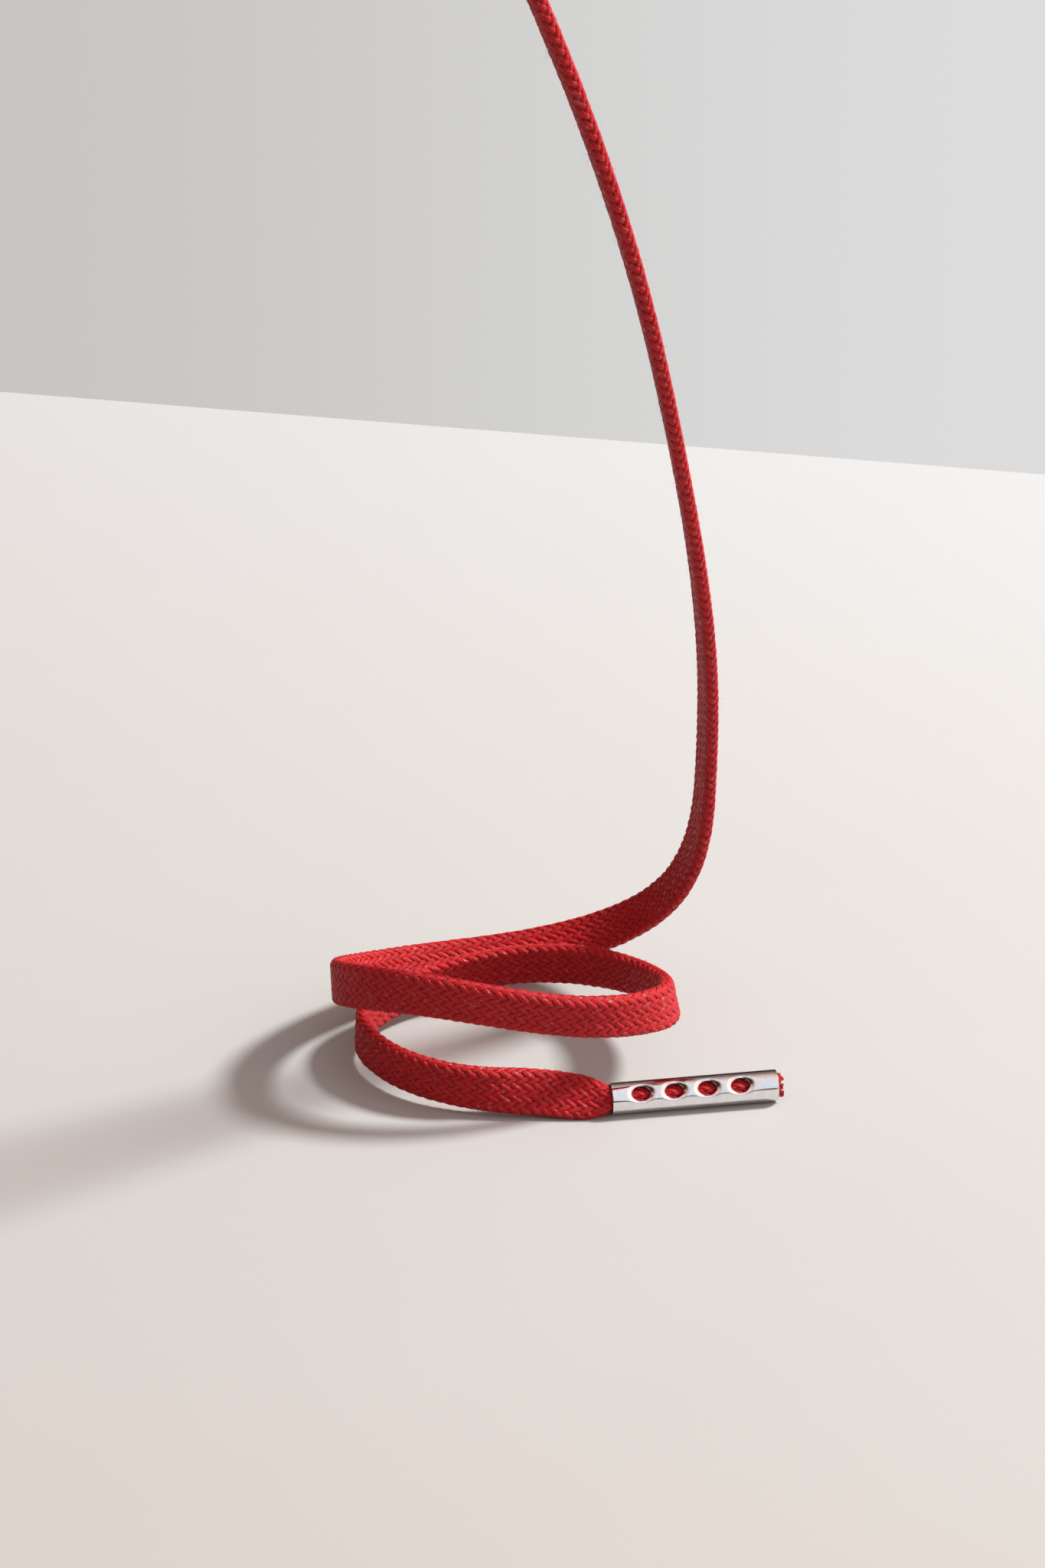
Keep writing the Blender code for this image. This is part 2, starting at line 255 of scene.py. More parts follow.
def between_mouths():
    """Points along the lace's middle from mouth to mouth, the ways its edge points, and their lengths."""
    lace_between = LACE_LENGTH - 2 * AGLET_LENGTH
    away = -aglet_directions()[0]
    tail = FIRST_TAIL
    for _ in range(TAIL_TRIES):
        places, edges = route_points(tail)
        at = np.append(0, np.linalg.norm(np.diff(places, axis=0), axis=1).cumsum())
        fine = np.linspace(0, at[-1], PATH_POINTS)
        points = cubic_spline(places, at, fine, away, aglet_directions()[1])
        along = np.append(0, np.linalg.norm(np.diff(points, axis=0), axis=1).cumsum())
        tail += lace_between - along[-1]
    edge = cubic_spline(edges, at, fine, np.zeros(3), np.zeros(3))
    return points - HANG_POINT, edge, along


def aglet_directions():
    """The ways the lower and the upper aglet point, from mouth to tip."""
    lower = (math.cos(AGLET_HEADING), math.sin(AGLET_HEADING), 0.0)
    return np.array([lower, (0.0, 0.0, -1.0)])


class Path:
    """The lace's middle line, read by length from the lower aglet's tip."""

    def __init__(self):
        points, edge, along = between_mouths()
        lower, upper = aglet_directions()
        reach = AGLET_LENGTH + ENDS_PAST_TIP
        self.points = np.vstack([points[0] + lower * reach, points, points[-1] + upper * reach])
        self.edge = np.vstack([edge[0], edge, edge[-1]])
        after = AGLET_LENGTH + along
        self.along = np.concatenate([[-ENDS_PAST_TIP], after, [after[-1] + reach]])

    def read(self, lengths):
        """Places, and the directions ahead, towards the lace's edge and out of its face."""
        place = self.at(lengths, self.points)
        ahead = unit(self.at(lengths + AHEAD_STEP, self.points) - self.at(lengths - AHEAD_STEP, self.points))
        edge = self.at(lengths, self.edge)
        edge = unit(edge - (edge * ahead).sum(1)[:, None] * ahead)
        return place, ahead, edge, np.cross(ahead, edge)

    def at(self, lengths, rows):
        inside = np.clip(lengths, self.along[0], self.along[-1])
        return np.stack([np.interp(inside, self.along, rows[:, i]) for i in range(3)], 1)


def flatness(outside):
    """How flat the lace is this far outside an aglet's mouth, from 0 where it is round to 1."""
    return 1 - (1 - np.clip(outside / FLATTENS_OVER, 0, 1)) ** 2


def past_mouth(lengths):
    """How far outside the nearer aglet's mouth a length is: negative inside."""
    return np.minimum(lengths, LACE_LENGTH - lengths) - AGLET_LENGTH


# ---------------------------------------------------------------- meshes


def make_mesh(name, points, faces, uvs=None, shades=None):
    """A smooth mesh from points and faces, with a UV for each corner and numbers for each point."""
    data = bpy.data.meshes.new(name)
    data.from_pydata(points, [], faces)
    data.shade_smooth()
    if uvs is not None:
        layer = data.uv_layers.new(name="yarn")
        layer.data.foreach_set("uv", np.ascontiguousarray(uvs, np.float32).ravel())
    for key, values in (shades or {}).items():
        spots = data.attributes.new(key, "FLOAT", "POINT")
        spots.data.foreach_set("value", np.ascontiguousarray(values, np.float32).ravel())
    data.update()
    made = bpy.data.objects.new(name, data)
    bpy.context.scene.collection.objects.link(made)
    return made


def tube_faces(rings, sides, start):
    """Quads between rings of points, which leave both ends open."""
    ring = np.arange(rings - 1)[:, None] * sides
    side = np.arange(sides)[None, :]
    after = (side + 1) % sides
    quads = np.stack([ring + side, ring + after, ring + sides + after, ring + sides + side], 2)
    return (quads.reshape(-1, 4) + start).tolist()


# ---------------------------------------------------------------- the braid


def section(share, half_width, half_thickness):
    """Places on a flat outline, share of the way round, the directions out of it, and its length."""
    run = half_width - half_thickness
    around = 4 * run + 2 * math.pi * half_thickness
    walked = (share % 1) * around
    half = np.where(walked > around / 2, -1.0, 1.0)
    walked = np.where(walked > around / 2, walked - around / 2, walked)
    first = walked < run
    second = walked > run + math.pi * half_thickness
    turn = np.clip((walked - run) / half_thickness, 0, math.pi)
    rounded = run + half_thickness * np.sin(turn)
    across = np.where(first, walked, np.where(second, around / 2 - walked, rounded))
    through = half_thickness * np.cos(turn)
    out_across = np.sin(turn)
    out_through = np.cos(turn)
    return half * across, half * through, half * out_across, half * out_through, around


def window_press(lengths, out, heading):
    """How far the lace is pressed in under an aglet's windows: most under the rims, less in the middle."""
    from_mouth = -past_mouth(lengths)
    angle = np.arccos(np.clip((out * heading).sum(1), -1, 1))
    press = np.zeros(len(lengths))
    for i in range(WINDOW_COUNT):
        centre = WINDOW_MARGIN + i * WINDOW_PITCH
        far = np.hypot(
            (from_mouth - centre) / WINDOW_HALF_LENGTH, AGLET_RADIUS * angle / WINDOW_HALF_WIDTH
        )
        dent = WINDOW_PRESS - WINDOW_BULGE * (1 - smooth_step(far / 0.95))
        press = np.maximum(press, dent * (1 - smooth_step((far - 1.1) / 0.7)))
    return press


def wander(lengths, size, wave):
    """A slow random sway, the same each run."""
    total = np.zeros_like(lengths)
    for part in range(3):
        phase, stretch = random.uniform(0, 2 * math.pi), random.uniform(0.7, 1.4)
        total += np.sin(lengths * 2 * math.pi / (wave * stretch / (part + 1)) + phase) / (part + 1)
    return total * size / 1.5


def yarn(path, way, index, lengths, headings):
    """One yarn's rings of points, and how far out of the braid each ring lies, from -1 to 1."""
    share = index / YARNS_EACH_WAY + way * lengths / TURN_LENGTH + wander(lengths, 0.0022, 0.017)
    crossings = 2 * YARNS_EACH_WAY * share
    wave = CROSSING_SHARPNESS * np.cos((crossings - 0.5) * math.pi / 2)
    over = np.tanh(wave) / math.tanh(CROSSING_SHARPNESS) * way
    outside = past_mouth(lengths)
    flat = flatness(outside)
    inset = YARN_HALF_THICKNESS + CROSSING_LIFT
    half_width = SQUEEZED_RADIUS + flat * (LACE_WIDTH / 2 - inset - SQUEEZED_RADIUS)
    half_thickness = SQUEEZED_RADIUS + flat * (LACE_THICKNESS / 2 - inset - SQUEEZED_RADIUS)
    across, through, out_across, out_through, around = section(share, half_width, half_thickness)
    place, _, edge, face = path.read(lengths)
    out = out_across[:, None] * edge + out_through[:, None] * face
    lift = over * CROSSING_LIFT * random.uniform(0.9, 1.1) + wander(lengths, 0.00002, 0.011)
    for heading, near in headings:
        close = near(lengths) & (outside < PRESSED_PAST_MOUTH)
        lift = lift - np.where(close, window_press(lengths, out, heading), 0)
    centre = place + across[:, None] * edge + through[:, None] * face + lift[:, None] * out
    along = unit(np.gradient(centre, axis=0))
    out = unit(out - (out * along).sum(1)[:, None] * along)
    side = np.cross(along, out)
    flat_around = 2 * (LACE_WIDTH - LACE_THICKNESS) + 2 * math.pi * (LACE_THICKNESS / 2 - inset)
    tight = around / flat_around
    width = YARN_HALF_WIDTH * (0.25 + 0.75 * tight) * (1 + wander(lengths, 0.05, 0.004))
    thickness = YARN_HALF_THICKNESS * (1 + wander(lengths, 0.05, 0.005))
    turn = np.linspace(0, 2 * math.pi, YARN_SIDES, endpoint=False)
    rings = (
        centre[:, None, :]
        + (width[:, None] * np.cos(turn))[:, :, None] * side[:, None, :]
        + (thickness[:, None] * np.sin(turn))[:, :, None] * out[:, None, :]
    )
    return rings, over


def yarn_uvs(rings, sides, lengths):
    """Once round the yarn is 1, and along it 1 is a centimetre."""
    u = np.arange(sides) / sides
    v = lengths * 100
    corners = np.zeros((rings - 1, sides, 4, 2))
    corners[:, :, 0, 0] = corners[:, :, 3, 0] = u
    corners[:, :, 1, 0] = corners[:, :, 2, 0] = u + 1 / sides
    corners[:, :, 0, 1] = corners[:, :, 1, 1] = v[:-1, None]
    corners[:, :, 2, 1] = corners[:, :, 3, 1] = v[1:, None]
    return corners.reshape(-1, 2)


def braid_pieces(path, headings, cotton):
    """The braid as a few meshes, each a share of the yarns that run one way."""
    start, end = -ENDS_PAST_TIP, LACE_LENGTH + ENDS_PAST_TIP
    count = math.ceil((end - start) / YARN_STEP)
    pieces = []
    for way, word in ((1, "right"), (-1, "left")):
        for first in range(0, YARNS_EACH_WAY, YARNS_PER_PIECE):
            points, faces, uvs, depths, tones = [], [], [], [], []
            for index in range(first, first + YARNS_PER_PIECE):
                ends = random.uniform(0, MOST_FRAYED, 2)
                lengths = np.linspace(start + ends[0], end - ends[1], count)
                rings, over = yarn(path, way, index, lengths, headings)
                faces += tube_faces(count, YARN_SIDES, len(points) * count * YARN_SIDES)
                uvs.append(yarn_uvs(count, YARN_SIDES, lengths))
                points.append(rings.reshape(-1, 3))
                # How far out each ring lies, which the yarn's material uses to paint shade where the yarn
                # passes under others
                depths.append(np.repeat(over, YARN_SIDES))
                tones.append(np.full(count * YARN_SIDES, random.uniform(0, 1)))
            name = f"braid_{word}_{first // YARNS_PER_PIECE + 1}"
            shades = {"depth": np.concatenate(depths), "tone": np.concatenate(tones)}
            piece = make_mesh(name, np.concatenate(points), faces, np.concatenate(uvs), shades)
            piece.data.materials.append(cotton)
            pieces.append(piece)
    return pieces


def lace_core(path, painted_shade):
    """A thin sleeve inside the braid, so that no light comes through between its yarns, coloured darker as
    painted shade.
    """
    inset = 2 * (YARN_HALF_THICKNESS + CROSSING_LIFT)
    lengths = np.linspace(-ENDS_PAST_TIP / 2, LACE_LENGTH + ENDS_PAST_TIP / 2, CORE_RINGS)
    flat = flatness(past_mouth(lengths))
    squeezed = SQUEEZED_RADIUS - inset / 2
    half_width = squeezed + flat * (LACE_WIDTH / 2 - inset - squeezed)
    half_thickness = squeezed + flat * (LACE_THICKNESS / 2 - inset - squeezed)
    place, _, edge, face = path.read(lengths)
    lines = []
    for k in range(CORE_SIDES):
        share = np.full(CORE_RINGS, k / CORE_SIDES)
        across, through, _, _, _ = section(share, half_width, half_thickness)
        lines.append(place + across[:, None] * edge + through[:, None] * face)
    points = np.stack(lines, 1).reshape(-1, 3)
    faces = tube_faces(CORE_RINGS, CORE_SIDES, 0)
    faces.append(list(range(CORE_SIDES))[::-1])
    faces.append([len(points) - CORE_SIDES + k for k in range(CORE_SIDES)])
    core = make_mesh("braid_inside", points, faces)
    core.data.materials.append(painted_shade)
    return core


def loose_fibres(path, finish):
    """Fine fibres that stand out of the braid, most of them short."""
    lengths = random.uniform(AGLET_LENGTH, LACE_LENGTH - AGLET_LENGTH, FIBRES)
    place, _, edge, face = path.read(lengths)
    flat = flatness(past_mouth(lengths))
    half_width = SQUEEZED_RADIUS + flat * (LACE_WIDTH / 2 - SQUEEZED_RADIUS)
    half_thickness = SQUEEZED_RADIUS + flat * (LACE_THICKNESS / 2 - SQUEEZED_RADIUS)
    share = random.uniform(0, 1, FIBRES)
    outline = section(share, half_width - ROOT_DEPTH, half_thickness - ROOT_DEPTH)
    across, through, out_across, out_through, _ = outline
    root = place + across[:, None] * edge + through[:, None] * face
    out = out_across[:, None] * edge + out_through[:, None] * face
    reach = SHORTEST_FIBRE + random.exponential(USUAL_FIBRE_PAST, FIBRES).clip(0, MOST_FIBRE_PAST)
    lean = random.normal(0, 0.8, (FIBRES, 3))
    first = unit(out + 0.7 * lean)
    second = unit(out + 0.9 * lean + random.normal(0, 0.7, (FIBRES, 3)))
    points = np.zeros((FIBRES, FIBRE_STEPS, FIBRE_SIDES, 3))
    for i in range(FIBRE_STEPS):
        t = i / (FIBRE_STEPS - 1)
        middle = root + reach[:, None] * (t * (1 - t) * first + t * t * second)
        along = unit((1 - 2 * t) * first + 2 * t * second)
        one = unit(np.cross(along, face + 0.3 * edge))
        two = np.cross(along, one)
        thin = FIBRE_RADIUS * (1 - 0.7 * t)
        for k in range(FIBRE_SIDES):
            turn = 2 * math.pi * k / FIBRE_SIDES
            points[:, i, k] = middle + thin * (math.cos(turn) * one + math.sin(turn) * two)
    table = -PEG[2] - PEG_RADIUS
    points[..., 2] = np.maximum(points[..., 2], table + FIBRE_RADIUS)
    faces = []
    for k in range(FIBRES):
        faces += tube_faces(FIBRE_STEPS, FIBRE_SIDES, k * FIBRE_STEPS * FIBRE_SIDES)
    fibres = make_mesh("loose_fibres", points.reshape(-1, 3), faces)
    fibres.data.materials.append(finish)
    return fibres


# ---------------------------------------------------------------- the aglets


def pressed_radius(length, angle):
    """The outer radius of the sheet: a round tube, pressed in to a cone at each window by the punch."""
    depth = AGLET_RADIUS * math.cos(angle)
    if depth <= 0:
        return AGLET_RADIUS
    side = AGLET_RADIUS * math.sin(angle)
    best = AGLET_RADIUS
    for i in range(WINDOW_COUNT):
        centre = WINDOW_MARGIN + i * WINDOW_PITCH
        far = math.hypot((length - centre) / WINDOW_HALF_LENGTH, side / WINDOW_HALF_WIDTH)
        cone = AGLET_RADIUS - RIM_DEPTH + CONE_SLOPE * max(far - 1, -0.2)
        sag = AGLET_RADIUS - SAG_DEPTH * math.exp(-((far / SAG_REACH) ** 4))
        blend = max(SAG_SOFTNESS - abs(cone - sag), 0) / SAG_SOFTNESS
        pressed = min(cone, sag) - blend * blend * SAG_SOFTNESS / 4
        if pressed < depth:
            best = min(best, math.hypot(side, pressed))
    return best


def window_ring(i, k):
    """Lengths and angles on ring k of the patch round window i, from the hole to its square border."""
    centre = WINDOW_MARGIN + i * WINDOW_PITCH
    out = (k / WINDOW_RINGS) ** RINGS_CROWD_TO_RIM
    half = WINDOW_PITCH / 2
    places = []
    for step in range(WINDOW_AROUND):
        turn = 2 * math.pi * step / WINDOW_AROUND
        cos, sin = math.cos(turn), math.sin(turn)
        square = 1 / max(abs(cos), abs(sin))
        rim = (WINDOW_HALF_LENGTH * cos, WINDOW_HALF_WIDTH * sin)
        edge = (half * square * cos, half * square * sin)
        length = (1 - out) * rim[0] + out * edge[0]
        arc = (1 - out) * rim[1] + out * edge[1]
        places.append((centre + length, arc / AGLET_RADIUS))
    return places


def aglet_sheet(name):
    """The outer skin of an aglet along +X from its mouth at the origin, its line of windows facing +Z."""
    mesh = bmesh.new()

    def point(length, angle):
        radius = pressed_radius(length, angle)
        return mesh.verts.new((length, radius * math.sin(angle), radius * math.cos(angle)))

    def grid(lengths, angles):
        rows = [[point(length, angle) for angle in angles] for length in lengths]
        for near, far in zip(rows, rows[1:]):
            for i in range(len(angles) - 1):
                mesh.faces.new((near[i], near[i + 1], far[i + 1], far[i]))

    half = WINDOW_PITCH / 2
    per_side = WINDOW_AROUND // 4
    tangents = [half * math.tan(math.pi / 4 * (2 * j / per_side - 1)) for j in range(per_side + 1)]
    over = [t / AGLET_RADIUS for t in tangents]
    back = list(np.linspace(over[-1], math.pi - SEAM_ANGLE / 2, BACK_COLUMNS))
    lengths = list(MOUTH_RINGS)
    for i in range(WINDOW_COUNT):
        centre = WINDOW_MARGIN + i * WINDOW_PITCH
        loops = []
        for k in range(WINDOW_RINGS + 1):
            loops.append([point(*place) for place in window_ring(i, k)])
        for near, far in zip(loops, loops[1:]):
            for j in range(WINDOW_AROUND):
                after = (j + 1) % WINDOW_AROUND
                mesh.faces.new((near[j], near[after], far[after], far[j]))
        lengths += [centre + t for t in tangents]
    windows_start = WINDOW_MARGIN - half
    windows_end = WINDOW_MARGIN + (WINDOW_COUNT - 0.5) * WINDOW_PITCH
    last = list(np.linspace(windows_end, AGLET_LENGTH, TIP_RINGS))
    lengths = sorted({round(x, 9) for x in lengths + last})
    grid([x for x in lengths if x <= windows_start + 1e-9], over)
    grid([x for x in lengths if x >= windows_end - 1e-9], over)
    grid(lengths, back)
    grid(lengths, [-angle for angle in back[::-1]])
    bmesh.ops.remove_doubles(mesh, verts=mesh.verts, dist=2e-7)
    bmesh.ops.recalc_face_normals(mesh, faces=mesh.faces)
    data = bpy.data.meshes.new(name)
    mesh.to_mesh(data)
    mesh.free()
    return data


def aglet(name, data, mouth, rotation, metal):
    """An aglet of rolled sheet, with its thickness and softened edges."""
    piece = bpy.data.objects.new(name, data.copy())
    bpy.context.scene.collection.objects.link(piece)
    piece.data.shade_smooth()
    thick = piece.modifiers.new("sheet", "SOLIDIFY")
    thick.thickness = AGLET_WALL
    thick.offset = -1
    round_edges = piece.modifiers.new("edges", "BEVEL")
    round_edges.width = EDGE_ROUNDING
    round_edges.segments = 3
    round_edges.limit_method = "ANGLE"
    round_edges.angle_limit = math.radians(50)
    piece.matrix_world = Matrix.Translation(mouth) @ Euler(rotation).to_matrix().to_4x4()
    piece.data.materials.append(metal)
    return piece


# ---------------------------------------------------------------- materials


class Nodes:
    """Short ways to add and link the nodes of one material."""

    def __init__(self, name):
        self.material = bpy.data.materials.new(name)
        self.material.use_nodes = True
        self.tree = self.material.node_tree
        self.shader = self.tree.nodes["Principled BSDF"]

    def add(self, kind, **settings):
        node = self.tree.nodes.new("ShaderNode" + kind)
        for key, value in settings.items():
            setattr(node, key, value)
        return node

    def link(self, source, target):
        self.tree.links.new(source, target)

    def put(self, socket, value):
        if isinstance(value, (int, float, tuple)):
            socket.default_value = value
        else:
            self.link(value, socket)

    def math(self, operation, first, second=0.0):
        node = self.add("Math", operation=operation)
        self.put(node.inputs[0], first)
        self.put(node.inputs[1], second)
        return node.outputs[0]

    def mix(self, share, first, second):
        node = self.add("Mix", data_type="RGBA")
        self.put(node.inputs["Factor"], share)
        self.put(node.inputs["A"], first)
        self.put(node.inputs["B"], second)
        return node.outputs["Result"]

    def noise(self, where, scale, detail=3.0, roughness=0.55):
        node = self.add("TexNoise")
        self.put(node.inputs["Vector"], where)
        node.inputs["Scale"].default_value = scale
        node.inputs["Detail"].default_value = detail
        node.inputs["Roughness"].default_value = roughness
        return node.outputs["Fac"]

    def spread(self, value, low, high, to_low=0.0, to_high=1.0):
        node = self.add("MapRange")
        self.put(node.inputs["Value"], value)
        for key, number in zip(RANGE_SOCKETS, (low, high, to_low, to_high)):
            node.inputs[key].default_value = number
        return node.outputs[0]

    def bump(self, height, strength, distance):
        node = self.add("Bump")
        self.put(node.inputs["Height"], height)
        node.inputs["Strength"].default_value = strength
        node.inputs["Distance"].default_value = distance
        self.link(node.outputs["Normal"], self.shader.inputs["Normal"])


def waxed_cotton():
    """Red cotton yarn: fine twisted fibres along it, painted shade where yarns pass under, a broken film of
    wax on top.
    """
    nodes = Nodes("waxed_cotton_yarn")
    uv = nodes.add("UVMap", uv_map="yarn")
    place = nodes.add("TexCoord").outputs["Object"]
    split = nodes.add("SeparateXYZ")
    nodes.link(uv.outputs["UV"], split.inputs[0])
    along = split.outputs["Y"]
    round_it = split.outputs["X"]
    depth = nodes.add("Attribute", attribute_name="depth").outputs["Fac"]
    tone = nodes.add("Attribute", attribute_name="tone").outputs["Fac"]
    twisted = nodes.math("MULTIPLY", nodes.math("ADD", round_it, along), 7.0)
    plies = nodes.math("SINE", nodes.math("MULTIPLY", twisted, 2 * math.pi))
    stretched = nodes.add("CombineXYZ")
    nodes.put(stretched.inputs["X"], nodes.math("MULTIPLY", twisted, 2.2))
    nodes.put(stretched.inputs["Y"], nodes.math("MULTIPLY", along, 6.0))
    nodes.put(stretched.inputs["Z"], nodes.math("MULTIPLY", tone, 30.0))
    fibre = nodes.noise(stretched.outputs[0], 2.6, 4.0, 0.65)
    blotch = nodes.noise(place, 260.0, 3.0)
    wax = nodes.spread(nodes.noise(place, 1300.0, 2.0), 0.58, 0.72)
    # Painted shade: yarns are coloured darker where they pass under others, and in random spots between
    # stitches
    gap_shade_noise = nodes.spread(nodes.noise(place, 900.0, 2.0), 0.3, 0.7, -0.5, 0.5)
    painted_shade_depth = nodes.math("ADD", depth, gap_shade_noise)
    painted_shade = (0.13, 0.002, 0.003, 1)
    mid = (0.30, 0.003, 0.006, 1)
    light = (0.51, 0.012, 0.018, 1)
    by_fibre = nodes.mix(nodes.spread(fibre, 0.3, 0.7), mid, light)
    with_painted_shade = nodes.mix(nodes.spread(painted_shade_depth, -0.65, 0.7), painted_shade, by_fibre)
    by_blotch = nodes.mix(nodes.spread(blotch, 0.3, 0.75, 0.0, 0.35), with_painted_shade, light)
    by_tone = nodes.mix(nodes.math("MULTIPLY", tone, 0.25), by_blotch, mid)
    nodes.link(by_tone, nodes.shader.inputs["Base Color"])
    dry = nodes.spread(fibre, 0.3, 0.7, 0.62, 0.48)
    rough = nodes.math("SUBTRACT", dry, nodes.math("MULTIPLY", wax, 0.22))
    nodes.link(rough, nodes.shader.inputs["Roughness"])
    nodes.link(nodes.spread(wax, 0.0, 1.0, 0.2, 0.75), nodes.shader.inputs["Specular IOR Level"])
    nodes.shader.inputs["Sheen Weight"].default_value = 0.14
    nodes.shader.inputs["Sheen Roughness"].default_value = 0.45
    nodes.shader.inputs["Sheen Tint"].default_value = (1.0, 0.25, 0.25, 1)
    height = nodes.math("ADD", nodes.math("MULTIPLY", plies, 0.35), fibre)
    nodes.bump(height, 0.75, 0.00006)
    return nodes.material


def painted_shade_inside():
    nodes = Nodes("cotton_inside")
    place = nodes.add("TexCoord").outputs["Object"]
    # Darker than the yarns' red: painted shade for the braid's inside, seen between its yarns
    shade = nodes.mix(nodes.noise(place, 900.0), (0.10, 0.003, 0.006, 1), (0.20, 0.007, 0.011, 1))
    nodes.link(shade, nodes.shader.inputs["Base Color"])
    nodes.shader.inputs["Roughness"].default_value = 0.8
    return nodes.material


def fibre_finish():
    nodes = Nodes("loose_fibre")
    place = nodes.add("TexCoord").outputs["Object"]
    shade = nodes.mix(nodes.noise(place, 500.0), (0.55, 0.05, 0.06, 1), (0.80, 0.22, 0.22, 1))
    nodes.link(shade, nodes.shader.inputs["Base Color"])
    nodes.shader.inputs["Roughness"].default_value = 0.6
    return nodes.material


def polished_metal():
    """Bright plated sheet: fine rolling lines along it, faint dents and rubbed patches."""
    nodes = Nodes("polished_nickel_plate")
    place = nodes.add("TexCoord").outputs["Object"]
    lines = nodes.add("Mapping")
    lines.inputs["Scale"].default_value = (60.0, 2600.0, 2600.0)
    nodes.link(place, lines.inputs["Vector"])
    rolled = nodes.noise(lines.outputs[0], 1.0, 3.0, 0.6)
    rubbed = nodes.noise(place, 700.0, 4.0, 0.6)
    tint = nodes.mix(nodes.spread(rubbed, 0.35, 0.7), (0.86, 0.86, 0.87, 1), (0.74, 0.73, 0.72, 1))
    nodes.link(tint, nodes.shader.inputs["Base Color"])
    nodes.shader.inputs["Metallic"].default_value = 1.0
    smooth = nodes.spread(rubbed, 0.35, 0.75, 0.05, 0.13)
    rough = nodes.math("ADD", smooth, nodes.math("MULTIPLY", rolled, 0.05))
    nodes.link(rough, nodes.shader.inputs["Roughness"])
    height = nodes.math("ADD", nodes.math("MULTIPLY", rolled, 0.15), nodes.noise(place, 420.0, 2.0))
    nodes.bump(height, 0.12, 0.00006)
    return nodes.material


def painted_rod():
    nodes = Nodes("painted_rod")
    place = nodes.add("TexCoord").outputs["Object"]
    shade = nodes.mix(nodes.noise(place, 200.0), (0.60, 0.59, 0.57, 1), (0.66, 0.65, 0.63, 1))
    nodes.link(shade, nodes.shader.inputs["Base Color"])
    nodes.shader.inputs["Roughness"].default_value = 0.45
    return nodes.material


# ---------------------------------------------------------------- camera, light and floor


def aim_camera(mouth):
    data = bpy.data.cameras.new("camera")
    data.sensor_fit = "VERTICAL"
    data.sensor_height = CAMERA_SENSOR
    data.lens = CAMERA_LENS
    data.clip_start = 0.01
    camera = bpy.data.objects.new("camera", data)
    bpy.context.scene.collection.objects.link(camera)
    camera.location = mouth + Vector(CAMERA_FROM_MOUTH)
    camera.rotation_euler = (math.radians(90) - CAMERA_DOWN, 0, 0)
    bpy.context.scene.camera = camera


def floor(table):
    """A pale table top, whose far edge shows behind the lace."""
    data = bpy.data.meshes.new("table_top")
    data.from_pydata(TABLE_CORNERS, [], [(0, 1, 2, 3)])
    top = bpy.data.objects.new("table_top", data)
    bpy.context.scene.collection.objects.link(top)
    top.location = (-HANG_POINT[0], TABLE_EDGE_Y - HANG_POINT[1], table)
    top.rotation_euler = (0, 0, TABLE_TURN)
    nodes = Nodes("pale_table")
    place = nodes.add("TexCoord").outputs["Object"]
    split = nodes.add("SeparateXYZ")
    nodes.link(place, split.inputs[0])
    # Painted light and shade: darker and warmer in front, lighter and cooler towards the back; the mottle is
    # the table's own
    far = nodes.spread(split.outputs["Y"], -0.42, 0.0)
    mottle = nodes.noise(place, 30.0, 4.0)
    near_painted_shade = nodes.mix(mottle, (0.367, 0.357, 0.335, 1), (0.379, 0.368, 0.346, 1))
    far_painted_light = nodes.mix(mottle, (0.444, 0.461, 0.462, 1), (0.454, 0.473, 0.474, 1))
    nodes.link(nodes.mix(far, near_painted_shade, far_painted_light), nodes.shader.inputs["Base Color"])
    nodes.shader.inputs["Roughness"].default_value = 0.7
    data.materials.append(nodes.material)


def hanger(metal):
    """The peg that the lace hangs over, and the rod that carries it from above."""
    mesh = bmesh.new()
    across = Matrix.Rotation(math.radians(90), 4, "X")
    upright = Matrix.Translation((0, PEG_LENGTH / 2 - 2 * ROD_RADIUS, ROD_LENGTH / 2))
    bars = ((PEG_CLEAR, PEG_LENGTH, 48, across), (ROD_RADIUS, ROD_LENGTH, 32, upright))
    for radius, length, segments, place in bars:
        bmesh.ops.create_cone(
            mesh, cap_ends=True, segments=segments, radius1=radius, radius2=radius, depth=length, matrix=place
        )
    data = bpy.data.meshes.new("hanger")
    mesh.to_mesh(data)
    mesh.free()
    data.shade_smooth()
    data.set_sharp_from_angle(angle=math.radians(40))
    rod = bpy.data.objects.new("hanger", data)
    bpy.context.scene.collection.objects.link(rod)
    rod.location = Vector(PEG) - Vector(HANG_POINT)
    soften = rod.modifiers.new("edges", "BEVEL")
    soften.width = ROD_EDGES
    soften.segments = 3
    soften.limit_method = "ANGLE"
    data.materials.append(metal)


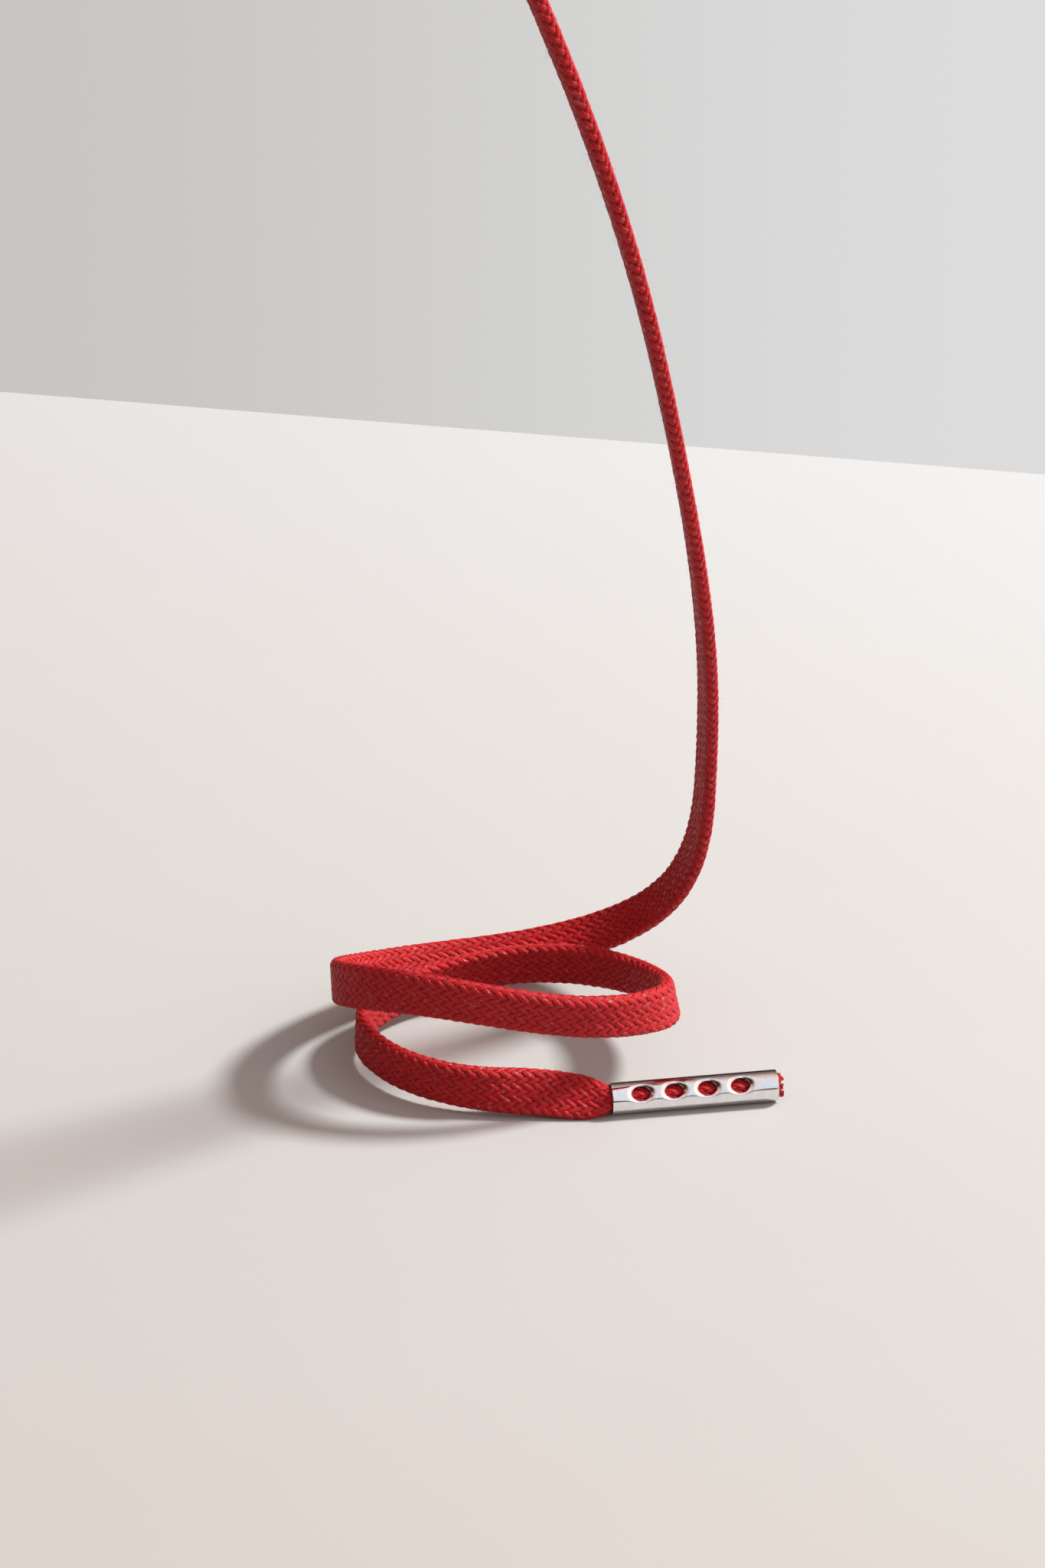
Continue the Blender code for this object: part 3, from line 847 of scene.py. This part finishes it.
def light_it(target):
    """One key light, a soft sky with a light strip in front, and a backdrop that only the camera sees."""
    data = bpy.data.lights.new("key", "AREA")
    data.shape = "DISK"
    data.size = KEY_SIZE
    data.energy = KEY_POWER
    data.color = KEY_COLOR
    key = bpy.data.objects.new("key", data)
    bpy.context.scene.collection.objects.link(key)
    towards = Vector(TO_KEY_LIGHT).normalized()
    key.location = target + towards * KEY_AWAY
    key.rotation_euler = towards.to_track_quat("Z", "Y").to_euler()
    world = bpy.data.worlds.new("studio")
    bpy.context.scene.world = world
    world.use_nodes = True
    tree = world.node_tree
    background = tree.nodes["Background"]

    def add(kind, **settings):
        node = tree.nodes.new("ShaderNode" + kind)
        for key, value in settings.items():
            setattr(node, key, value)
        return node

    def spread(value, low, high, to_low, to_high):
        node = add("MapRange", interpolation_type="SMOOTHSTEP")
        tree.links.new(value, node.inputs["Value"])
        for key, number in zip(RANGE_SOCKETS, (low, high, to_low, to_high)):
            node.inputs[key].default_value = number
        return node.outputs[0]

    def join(operation, first, second):
        node = add("Math", operation=operation)
        tree.links.new(first, node.inputs[0])
        tree.links.new(second, node.inputs[1])
        return node.outputs[0]

    way = add("TexCoord").outputs["Generated"]
    split = add("SeparateXYZ")
    tree.links.new(way, split.inputs[0])
    right, back, up = split.outputs
    ceiling = spread(up, 0.2, 1.0, SKY_LOW, SKY)
    open_back = spread(back, 0.1, 0.8, 1.0, BACK_SHARE)
    side = spread(right, 0.25, 0.95, 0.0, KEY_SIDE_GLOW)
    fill = add("Mix", data_type="RGBA", blend_type="MULTIPLY")
    fill.inputs["Factor"].default_value = 1.0
    fill.inputs["A"].default_value = (*FILL_TINT, 1)
    tree.links.new(join("ADD", join("MULTIPLY", ceiling, open_back), side), fill.inputs["B"])
    across = add("VectorMath", operation="DOT_PRODUCT")
    tree.links.new(way, across.inputs[0])
    across.inputs[1].default_value = STRIP_ACROSS
    left_of_strip = spread(across.outputs["Value"], -0.15, 0.05, 0.0, 1.0)
    right_of_strip = spread(across.outputs["Value"], 0.32, 0.55, 1.0, 0.0)
    above_table = spread(up, 0.15, 0.18, 0.0, 1.0)
    in_front = spread(back, -0.12, 0.06, FRONT_STRIP, 0.0)
    strip_across = join("MULTIPLY", left_of_strip, right_of_strip)
    strip = join("MULTIPLY", strip_across, join("MULTIPLY", above_table, in_front))
    lit = add("Mix", data_type="RGBA")
    tree.links.new(strip, lit.inputs["Factor"])
    tree.links.new(fill.outputs["Result"], lit.inputs["A"])
    lit.inputs["B"].default_value = STRIP_COLOR
    # The backdrop is painted lighter towards the right: painted light on the wall behind
    backdrop = add("Mix", data_type="RGBA")
    tree.links.new(spread(right, -0.14, 0.14, 0.0, 1.0), backdrop.inputs["Factor"])
    backdrop.inputs["A"].default_value = BACKDROP_LEFT
    backdrop.inputs["B"].default_value = BACKDROP_RIGHT
    seen = add("Mix", data_type="RGBA")
    tree.links.new(add("LightPath").outputs["Is Camera Ray"], seen.inputs["Factor"])
    tree.links.new(lit.outputs["Result"], seen.inputs["A"])
    tree.links.new(backdrop.outputs["Result"], seen.inputs["B"])
    tree.links.new(seen.outputs["Result"], background.inputs["Color"])


# ---------------------------------------------------------------- the whole


def main():
    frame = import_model()
    lower_mouth = Vector(MOUTH) - Vector(HANG_POINT)
    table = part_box("aglet_a")[0][2]
    aim_camera(lower_mouth)

    path = Path()
    cotton = waxed_cotton()
    upper_mouth = Vector(path.at(np.array([LACE_LENGTH - AGLET_LENGTH]), path.points)[0])
    turns = ((WINDOWS_LEAN, 0, AGLET_HEADING), (0, math.radians(90), 0))
    facing = [np.array(Euler(turn).to_matrix() @ Vector((0, 0, 1))) for turn in turns]
    headings = (
        (facing[0], lambda lengths: lengths < LACE_LENGTH / 2),
        (facing[1], lambda lengths: lengths > LACE_LENGTH / 2),
    )
    braid = braid_pieces(path, headings, cotton)
    core = lace_core(path, painted_shade_inside())
    fibres = loose_fibres(path, fibre_finish())

    metal = polished_metal()
    sheet = aglet_sheet("aglet_sheet")
    aglets = [
        aglet("aglet_lower", sheet, lower_mouth, turns[0], metal),
        aglet("aglet_upper", sheet, upper_mouth, turns[1], metal),
    ]
    floor(table)
    hanger(painted_rod())
    light_it(lower_mouth)

    lace = [name for name in frame["nodes"] if name.startswith("lace_")]
    for piece in braid + [core, fibres]:
        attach(piece, "root")
    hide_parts(*lace)
    for piece, node in zip(aglets, ("aglet_a", "aglet_b")):
        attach(piece, "root")
        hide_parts(node)
    bpy.context.scene.view_settings.view_transform = "Standard"


main()
